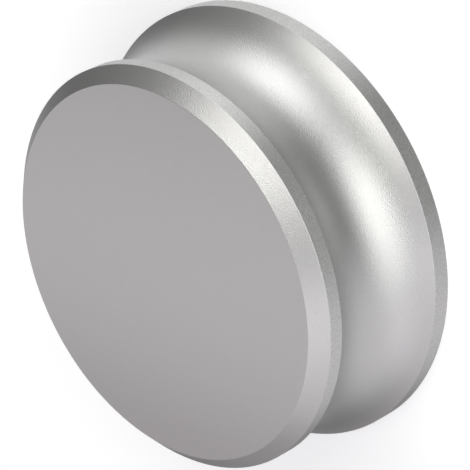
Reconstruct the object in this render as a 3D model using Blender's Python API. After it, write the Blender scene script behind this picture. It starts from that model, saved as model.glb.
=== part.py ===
"""Record weight: a heavy puck that stands on the label of a record, over the turntable's spindle.

It is turned from one bar of aluminium. A wide band round the base and a narrower band under the
chamfered top leave a shallow round groove between them for the fingers, and the spindle enters a
blind drilled bore in the underside. The origin is the centre of the base, +Z runs up the axis, and
all lengths are in metres.
"""

from math import asin, cos, hypot, radians, sin, tan

import bpy

# Sizes over all
BASE_DIAMETER = 0.076
TOP_DIAMETER = 0.070
HEIGHT = 0.0271

# Bands, and the groove that is sunk between their edges
BASE_BAND = 0.0031
TOP_BAND = 0.0026
TOP_CHAMFER = 0.0025
GROOVE_DEPTH = 0.003

# Bore for the spindle
SPINDLE_DIAMETER = 0.0072
SPINDLE_CLEARANCE = 0.0002
BORE_DEPTH = 0.016
BORE_MOUTH = 0.0008
DRILL_POINT = radians(118)

# Broken edges, and how finely the round surfaces are divided
EDGE_BREAK = 0.0001
SHARP_CORNER = radians(20)
GROOVE_STEPS = 16
TURN_STEPS = 96
AXIS_WELD = 0.00001

# Bead-blasted and clear anodised aluminium
METAL_COLOUR = (0.45, 0.45, 0.45)
METAL_ROUGHNESS = 0.33


def groove(top, bottom):
    """The arc from the top band's lower edge to the base band's upper edge, as (radius, height) points."""
    chord = hypot(bottom[0] - top[0], bottom[1] - top[1])
    along = ((bottom[0] - top[0]) / chord, (bottom[1] - top[1]) / chord)
    inward = (along[1], -along[0])
    arc_radius = (chord**2 / 4 + GROOVE_DEPTH**2) / (2 * GROOVE_DEPTH)
    half_angle = asin(chord / 2 / arc_radius)
    points = []
    for step in range(GROOVE_STEPS + 1):
        angle = half_angle * (2 * step / GROOVE_STEPS - 1)
        run = chord / 2 + arc_radius * sin(angle)
        sunk = arc_radius * (cos(angle) - cos(half_angle))
        radius = top[0] + along[0] * run + inward[0] * sunk
        height = top[1] + along[1] * run + inward[1] * sunk
        points.append((radius, height))
    return points


def section():
    """Half of the turned section, from the middle of the top face round to the tip of the bore."""
    base_radius = BASE_DIAMETER / 2
    top_radius = TOP_DIAMETER / 2
    bore_radius = SPINDLE_DIAMETER / 2 + SPINDLE_CLEARANCE
    chamfer_foot = HEIGHT - TOP_CHAMFER
    top = [(0, HEIGHT), (top_radius - TOP_CHAMFER, HEIGHT), (top_radius, chamfer_foot)]
    waist = groove((top_radius, chamfer_foot - TOP_BAND), (base_radius, BASE_BAND))
    base = [(base_radius, 0), (bore_radius + BORE_MOUTH, 0)]
    bore = [(bore_radius, BORE_MOUTH), (bore_radius, BORE_DEPTH)]
    tip = [(0, BORE_DEPTH + bore_radius / tan(DRILL_POINT / 2))]
    return top + waist + base + bore + tip


def anodised_aluminium():
    """Satin silver metal."""
    material = bpy.data.materials.new("anodised_aluminium")
    material.use_nodes = True
    shader = material.node_tree.nodes["Principled BSDF"]
    shader.inputs["Base Color"].default_value = (*METAL_COLOUR, 1)
    shader.inputs["Metallic"].default_value = 1
    shader.inputs["Roughness"].default_value = METAL_ROUGHNESS
    return material


def weight_body():
    """The section turned round the axis, with every turned edge lightly broken."""
    points = section()
    outline = bpy.data.meshes.new("weight_body")
    edges = [(i, i + 1) for i in range(len(points) - 1)]
    outline.from_pydata([(radius, 0, height) for radius, height in points], edges, [])
    outline.materials.append(anodised_aluminium())
    body = bpy.data.objects.new("weight_body", outline)
    bpy.context.scene.collection.objects.link(body)

    turning = body.modifiers.new("turning", "SCREW")
    turning.axis = "Z"
    turning.steps = TURN_STEPS
    turning.render_steps = TURN_STEPS
    turning.use_merge_vertices = True
    turning.merge_threshold = AXIS_WELD
    turning.use_smooth_shade = True

    edge_break = body.modifiers.new("edge_break", "BEVEL")
    edge_break.limit_method = "ANGLE"
    edge_break.angle_limit = SHARP_CORNER
    edge_break.width = EDGE_BREAK
    edge_break.segments = 1
    edge_break.harden_normals = True


def main():
    for old in list(bpy.data.objects):
        bpy.data.objects.remove(old)
    weight_body()


main()
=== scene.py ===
"""Record weight of bead-blasted, clear anodised aluminium, standing on a pale floor.

Everything is in metres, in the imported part's own frame: the base stands on z = 0, the axis is +Z, and
azimuths are counted from -Y towards +X.
"""

from math import asin, cos, hypot, pi, radians, sin, tan

import bmesh
import bpy
from mathutils import Matrix, Vector


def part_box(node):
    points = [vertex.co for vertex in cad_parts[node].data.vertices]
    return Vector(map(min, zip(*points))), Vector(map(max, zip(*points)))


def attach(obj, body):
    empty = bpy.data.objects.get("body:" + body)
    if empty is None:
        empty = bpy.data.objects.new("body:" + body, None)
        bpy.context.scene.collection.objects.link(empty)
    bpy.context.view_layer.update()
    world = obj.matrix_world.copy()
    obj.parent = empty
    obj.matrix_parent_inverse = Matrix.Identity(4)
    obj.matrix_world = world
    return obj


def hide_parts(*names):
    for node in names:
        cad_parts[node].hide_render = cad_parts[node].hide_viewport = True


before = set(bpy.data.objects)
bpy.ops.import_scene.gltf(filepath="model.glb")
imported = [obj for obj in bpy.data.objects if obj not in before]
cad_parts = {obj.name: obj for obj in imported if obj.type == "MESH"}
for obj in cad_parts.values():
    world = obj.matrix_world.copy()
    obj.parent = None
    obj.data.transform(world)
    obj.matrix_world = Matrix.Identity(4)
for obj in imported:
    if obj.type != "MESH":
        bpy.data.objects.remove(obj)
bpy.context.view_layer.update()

# The weight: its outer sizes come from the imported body, the rest repeats the drawing
CAD_NODE = "weight_body"
CAD_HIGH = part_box(CAD_NODE)[1]
BASE_RADIUS = CAD_HIGH.x
HEIGHT = CAD_HIGH.z
TOP_RADIUS = 0.035
BASE_BAND = 0.0031
TOP_BAND = 0.0026
TOP_CHAMFER = 0.0025
GROOVE_DEPTH = 0.003
BORE_RADIUS = 0.0038
BORE_DEPTH = 0.016
BORE_MOUTH = 0.0008
DRILL_POINT = radians(118)
EDGE_BREAK = 0.00005

# How finely the turned surfaces are divided, and how upright the normal of a flat end is at least
TURN_SEGMENTS = 384
GROOVE_STEPS = 48
EDGE_BREAK_SEGMENTS = 3
SHARP_CORNER = radians(20)
FACE_RINGS = 4
WELD = 0.000001
FLAT_END = 0.9

# Bead-blasted and clear anodised aluminium: each pattern's size, its detail, and how strong it is
METAL_COLOUR = (0.45, 0.45, 0.45)
METAL_ROUGHNESS = 0.3
DIMPLE = 0.00015
DIMPLE_DETAIL = 0
DIMPLE_HEIGHT = 0.000029
SPECKLE = 0.00016
SPECKLE_DETAIL = 1
SPECKLE_SHADE = 0.18
CLOUD = 0.006
CLOUD_DETAIL = 3
CLOUD_ROUGHNESS = 0.03
NOISE_MEAN = 0.5

# The share of the grain that the faced top has, and the speckle that the upright bands add to theirs
FACED_GRAIN = 0.7
BAND_SPECKLE = 4

# The camera looks down on the top face, and lies over on its side as in the photograph
CAMERA_AIM = Vector((0.00028, -0.0053, 0.01361))
CAMERA_DISTANCE = 0.4911
CAMERA_ELEVATION = radians(39.45)
CAMERA_ROLL = radians(-116.71)
CAMERA_LENS = 230.39
SENSOR_WIDTH = 36

# Studio: the floor's lift is what it gains for the camera alone
UP = Vector((0, 0, 1))
FLOOR_SIZE = 6
FLOOR_COLOUR = (0.95, 0.95, 0.95)
FLOOR_LIFT = (0.19, 0.2, 0.21)
LAMP_DISTANCE = 0.8
LAMP_AIM = Vector((0, 0, 0.012))
PANEL_MIDDLE = 0.5
ROOM_LIGHT = (0.242, 0.243, 0.24)

# Soft boxes: azimuth, elevation and turn in degrees, width and height in metres, the shares of both over
# which their sides fade, and the colour of their light
SOFT_BOXES = {
    "key_soft_box": (34.5, 36.5, -7.5, 1.88, 0.53, (0.46, 0.22), (2.29, 2.28, 2.19)),
    "front_soft_box": (-14.5, -5.5, -0.5, 1.98, 0.62, (0.5, 0.14), (2.21, 2.24, 2.15)),
    "low_soft_box": (59, -15, -6.5, 1.27, 0.64, (0.45, 0.23), (2.07, 2.10, 2.05)),
}

# A dim card, given as a soft box is, that leans along the rim and ends behind the top face
CARD = (238.5, 7, 0, 0.59, 0.13, (0.3, 0.3), (0.27, 0.27, 0.27))
CARD_AIM = Vector((0.0095, -0.006, 0.0895))
CARD_DISTANCE = 0.04

# Broad glows of the studio's walls: azimuth, elevation and reach in degrees, and the colour in the middle.
# The last is a dark patch between the soft boxes: it takes light away.
GLOWS = (
    (-86, -29.5, 52, (0.796, 0.774, 0.796)),
    (20.5, 38, 117, (0.314, 0.306, 0.306)),
    (206, 34.5, 58, (0.48, 0.438, 0.455)),
    (103, -47.5, 47.5, (0.773, 0.771, 0.764)),
    (-73, 31, 57, (0.745, 0.717, 0.741)),
    (-10.5, -74, 18, (0.63, 0.63, 0.59)),
    (163, -36.5, 26, (0.385, 0.385, 0.405)),
    (28.5, 52.5, 24, (0.16, 0.16, 0.16)),
    (7, 22, 21, (-0.54, -0.54, -0.54)),
)


def toward(azimuth, elevation):
    """The direction from the weight to something at that azimuth and elevation, in degrees."""
    azimuth, elevation = radians(azimuth), radians(elevation)
    level = cos(elevation)
    return Vector((level * sin(azimuth), -level * cos(azimuth), sin(elevation)))


class Wire:
    """The output socket of a shader node. Python's operators on it add Math nodes."""

    def __init__(self, socket):
        self.socket = socket
        self.tree = socket.id_data

    @classmethod
    def node(cls, tree, kind, settings, sockets, output=0):
        """Adds a node, makes its settings, then fills its sockets with values or links."""
        node = tree.nodes.new(kind)
        for name, setting in settings.items():
            setattr(node, name, setting)
        for name, value in sockets.items():
            if isinstance(value, cls):
                tree.links.new(value.socket, node.inputs[name])
            else:
                node.inputs[name].default_value = value
        return cls(node.outputs[output])

    def calculate(self, operation, first, second):
        return self.node(self.tree, "ShaderNodeMath", {"operation": operation}, {0: first, 1: second})

    def __add__(self, other):
        return self.calculate("ADD", self, other)

    def __sub__(self, other):
        return self.calculate("SUBTRACT", self, other)

    def __mul__(self, other):
        return self.calculate("MULTIPLY", self, other)

    __radd__ = __add__
    __rmul__ = __mul__

    def __rsub__(self, other):
        return self.calculate("SUBTRACT", other, self)

    def __abs__(self):
        return self.calculate("ABSOLUTE", self, 0)

    def __gt__(self, other):
        return self.calculate("GREATER_THAN", self, other)

    def __lt__(self, other):
        return self.calculate("LESS_THAN", self, other)

    def tint(self, colour):
        """The colour times this value."""
        sockets = {0: colour, "Scale": self}
        return self.node(self.tree, "ShaderNodeVectorMath", {"operation": "SCALE"}, sockets, "Vector")

    def fade(self, start, end):
        """Runs smoothly from 0, where this value is start, to 1, where it is end."""
        settings = {"interpolation_type": "SMOOTHSTEP"}
        sockets = {"Value": self, "From Min": start, "From Max": end}
        return self.node(self.tree, "ShaderNodeMapRange", settings, sockets, "Result")


def anodised_aluminium():
    """Satin metal with the fine dimples that glass beads leave, under an even clear anodising."""
    material = bpy.data.materials.new("bead_blasted_anodised_aluminium")
    material.use_nodes = True
    tree = material.node_tree
    shader = tree.nodes["Principled BSDF"]
    place = Wire.node(tree, "ShaderNodeTexCoord", {}, {}, "Object")

    def noise(size, detail):
        """Noise that lies about 0."""
        sockets = {"Vector": place, "Scale": 1 / size, "Detail": detail}
        pattern = Wire.node(tree, "ShaderNodeTexNoise", {"noise_dimensions": "3D"}, sockets, "Fac")
        return pattern - NOISE_MEAN

    # The flat top was faced before blasting, and its grain is fainter
    height = Wire.node(tree, "ShaderNodeSeparateXYZ", {}, {"Vector": place}, "Z")
    faced = height > HEIGHT - EDGE_BREAK / 2
    grain = 1 - faced * (1 - FACED_GRAIN)

    # The two upright bands took the blast square on, and are more speckled
    top_band_middle = HEIGHT - TOP_CHAMFER - TOP_BAND / 2
    in_base_band = height < BASE_BAND
    in_top_band = abs(height - top_band_middle) < TOP_BAND / 2
    speckled = grain + (in_base_band + in_top_band) * BAND_SPECKLE

    dimples = noise(DIMPLE, DIMPLE_DETAIL) * grain
    sockets = {"Strength": 1, "Distance": DIMPLE_HEIGHT, "Height": dimples}
    bump = Wire.node(tree, "ShaderNodeBump", {}, sockets, "Normal")
    speckle = 1 + noise(SPECKLE, SPECKLE_DETAIL) * speckled * SPECKLE_SHADE
    colour = speckle.tint(METAL_COLOUR)
    roughness = METAL_ROUGHNESS + noise(CLOUD, CLOUD_DETAIL) * CLOUD_ROUGHNESS

    tree.links.new(colour.socket, shader.inputs["Base Color"])
    tree.links.new(roughness.socket, shader.inputs["Roughness"])
    tree.links.new(bump.socket, shader.inputs["Normal"])
    shader.inputs["Metallic"].default_value = 1
    return material


def groove():
    """The groove's arc from the base band's edge up to the top band's, as (radius, height) points."""
    low = (BASE_RADIUS, BASE_BAND)
    high = (TOP_RADIUS, HEIGHT - TOP_CHAMFER - TOP_BAND)
    chord = hypot(high[0] - low[0], high[1] - low[1])
    along = ((high[0] - low[0]) / chord, (high[1] - low[1]) / chord)
    inward = (-along[1], along[0])
    arc_radius = (chord**2 / 4 + GROOVE_DEPTH**2) / (2 * GROOVE_DEPTH)
    half_angle = asin(chord / 2 / arc_radius)
    points = []
    for step in range(1, GROOVE_STEPS + 1):
        angle = half_angle * (2 * step / GROOVE_STEPS - 1)
        run = chord / 2 + arc_radius * sin(angle)
        sunk = arc_radius * (cos(angle) - cos(half_angle))
        radius = low[0] + along[0] * run + inward[0] * sunk
        height = low[1] + along[1] * run + inward[1] * sunk
        points.append((radius, height))
    return points


def select_end(piece, facing):
    """In edit mode, selects just the flat end whose faces look that way."""
    bpy.ops.mesh.select_all(action="DESELECT")
    mesh = bmesh.from_edit_mesh(piece.data)
    for face in mesh.faces:
        face.select_set(face.normal.dot(facing) > FLAT_END)
    bmesh.update_edit_mesh(piece.data)


def draw_out(height, radius, old_height, old_radius):
    """Extrudes the selected end to a new height, and brings its rim to a new radius."""
    rise = (0, 0, height - old_height)
    bpy.ops.mesh.extrude_region_move(TRANSFORM_OT_translate={"value": rise})
    share = radius / old_radius
    if share != 1:
        bpy.ops.transform.resize(value=(share, share, 1), center_override=(0, 0, 0))


def follow(points, height, radius):
    """Draws the selected end out through (radius, height) points, from where it is."""
    for next_radius, next_height in points:
        draw_out(next_height, next_radius, height, radius)
        radius, height = next_radius, next_height


def turned_weight():
    """The whole weight: a disc drawn up through the groove to the top face, then bored from below."""
    bpy.ops.object.select_all(action="DESELECT")
    bpy.ops.mesh.primitive_cylinder_add(
        vertices=TURN_SEGMENTS,
        radius=BASE_RADIUS,
        depth=BASE_BAND,
        location=(0, 0, BASE_BAND / 2),
    )
    weight = bpy.context.object
    weight.name = "turned_weight"
    bpy.ops.object.transform_apply(location=True, rotation=True, scale=True)
    bpy.ops.object.mode_set(mode="EDIT")

    # Groove, top band and chamfer
    chamfer_foot = HEIGHT - TOP_CHAMFER
    face_radius = TOP_RADIUS - TOP_CHAMFER
    select_end(weight, UP)
    follow(groove() + [(TOP_RADIUS, chamfer_foot), (face_radius, HEIGHT)], BASE_BAND, BASE_RADIUS)

    # The face is closed by even rings round a pole
    for _ in range(FACE_RINGS):
        bpy.ops.mesh.inset(thickness=face_radius / (FACE_RINGS + 1))
    bpy.ops.mesh.poke()

    # Bore with a countersunk mouth and the drill's cone at its end
    mouth_radius = BORE_RADIUS + BORE_MOUTH
    tip = BORE_DEPTH + BORE_RADIUS / tan(DRILL_POINT / 2)
    select_end(weight, -UP)
    bpy.ops.mesh.inset(thickness=BASE_RADIUS - mouth_radius)
    follow([(BORE_RADIUS, BORE_MOUTH), (BORE_RADIUS, BORE_DEPTH)], 0, mouth_radius)
    bpy.ops.mesh.extrude_region_move(TRANSFORM_OT_translate={"value": (0, 0, tip - BORE_DEPTH)})
    bpy.ops.mesh.merge(type="CENTER")

    bpy.ops.mesh.select_all(action="SELECT")
    bpy.ops.mesh.remove_doubles(threshold=WELD)
    bpy.ops.mesh.normals_make_consistent(inside=False)
    bpy.ops.object.mode_set(mode="OBJECT")
    bpy.ops.object.shade_smooth()

    edge_break = weight.modifiers.new("edge_break", "BEVEL")
    edge_break.limit_method = "ANGLE"
    edge_break.angle_limit = SHARP_CORNER
    edge_break.width = EDGE_BREAK
    edge_break.segments = EDGE_BREAK_SEGMENTS
    edge_break.harden_normals = True
    bpy.ops.object.modifier_apply(modifier=edge_break.name)
    weight.data.materials.append(anodised_aluminium())
    return weight


def camera():
    """The photograph's view: its aim, turn and lens were fitted to the turned edges."""
    turn = Matrix.Rotation(pi / 2 - CAMERA_ELEVATION, 4, "X") @ Matrix.Rotation(CAMERA_ROLL, 4, "Z")
    lens = bpy.data.cameras.new("photograph_view")
    lens.sensor_width = SENSOR_WIDTH
    lens.lens = CAMERA_LENS
    view = bpy.data.objects.new("photograph_view", lens)
    view.matrix_world = Matrix.Translation(CAMERA_AIM) @ turn @ Matrix.Translation(UP * CAMERA_DISTANCE)
    bpy.context.scene.collection.objects.link(view)
    bpy.context.scene.camera = view


def floor():
    """A pale floor that takes the soft shadow. It shows in no reflection and blocks no light."""
    bpy.ops.object.select_all(action="DESELECT")
    bpy.ops.mesh.primitive_plane_add(size=FLOOR_SIZE)
    ground = bpy.context.object
    ground.name = "floor"
    paint = bpy.data.materials.new("pale_floor")
    paint.use_nodes = True
    tree = paint.node_tree
    shader = tree.nodes["Principled BSDF"]
    shader.inputs["Base Color"].default_value = (*FLOOR_COLOUR, 1)
    shader.inputs["Roughness"].default_value = 1
    shader.inputs["Specular IOR Level"].default_value = 0
    seen_by_camera = Wire.node(tree, "ShaderNodeLightPath", {}, {}, "Is Camera Ray")
    tree.links.new(seen_by_camera.tint(FLOOR_LIFT).socket, shader.inputs["Emission Color"])
    shader.inputs["Emission Strength"].default_value = 1
    ground.data.materials.append(paint)
    ground.visible_glossy = False
    ground.visible_shadow = False


def soft_box(
    name,
    azimuth,
    elevation,
    turn,
    width,
    height,
    fading_shares,
    colour,
    aim=LAMP_AIM,
    distance=LAMP_DISTANCE,
):
    """A rectangular soft box that faces the weight."""
    lamp = bpy.data.lights.new(name, "AREA")
    lamp.shape = "RECTANGLE"
    lamp.size = width
    lamp.size_y = height
    strongest = max(colour)
    lamp.color = [channel / strongest for channel in colour]
    lamp.energy = strongest * pi * width * height

    # The diffuser fades towards its four edges
    lamp.use_nodes = True
    tree = lamp.node_tree
    panel = Wire.node(tree, "ShaderNodeNewGeometry", {}, {}, "Parametric")
    brightness = 1
    for axis, share in zip("XY", fading_shares):
        across_panel = Wire.node(tree, "ShaderNodeSeparateXYZ", {}, {"Vector": panel}, axis)
        off_middle = abs(across_panel - PANEL_MIDDLE)
        brightness = brightness * off_middle.fade(PANEL_MIDDLE, PANEL_MIDDLE - share)
    tree.links.new(brightness.socket, tree.nodes["Emission"].inputs["Strength"])

    back = toward(azimuth, elevation)
    across = UP.cross(back).normalized()
    facing = Matrix((across, back.cross(across), back)).transposed().to_4x4()
    box = bpy.data.objects.new(name, lamp)
    stand = Matrix.Translation(aim + back * distance)
    box.matrix_world = stand @ facing @ Matrix.Rotation(radians(turn), 4, "Z")
    box.visible_camera = False
    bpy.context.scene.collection.objects.link(box)


def studio_walls():
    """The world: an even dim room with a few broad glows and one dark patch."""
    world = bpy.data.worlds.new("studio")
    world.use_nodes = True
    bpy.context.scene.world = world
    tree = world.node_tree
    direction = Wire.node(tree, "ShaderNodeTexCoord", {}, {}, "Generated")
    light = ROOM_LIGHT
    for azimuth, elevation, reach, colour in GLOWS:
        sockets = {0: direction, 1: toward(azimuth, elevation)}
        facing = Wire.node(tree, "ShaderNodeVectorMath", {"operation": "DOT_PRODUCT"}, sockets, "Value")
        sockets = {0: facing.fade(cos(radians(reach)), 1), 1: colour, 2: light}
        light = Wire.node(tree, "ShaderNodeVectorMath", {"operation": "MULTIPLY_ADD"}, sockets, "Vector")
    tree.links.new(light.socket, tree.nodes["Background"].inputs["Color"])


camera()
floor()
studio_walls()
for lamp_name, settings in SOFT_BOXES.items():
    soft_box(lamp_name, *settings)
soft_box("card", *CARD, aim=CARD_AIM, distance=CARD_DISTANCE)

weight = turned_weight()
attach(weight, "root")
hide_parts(CAD_NODE)

bpy.context.scene.view_settings.view_transform = "Standard"
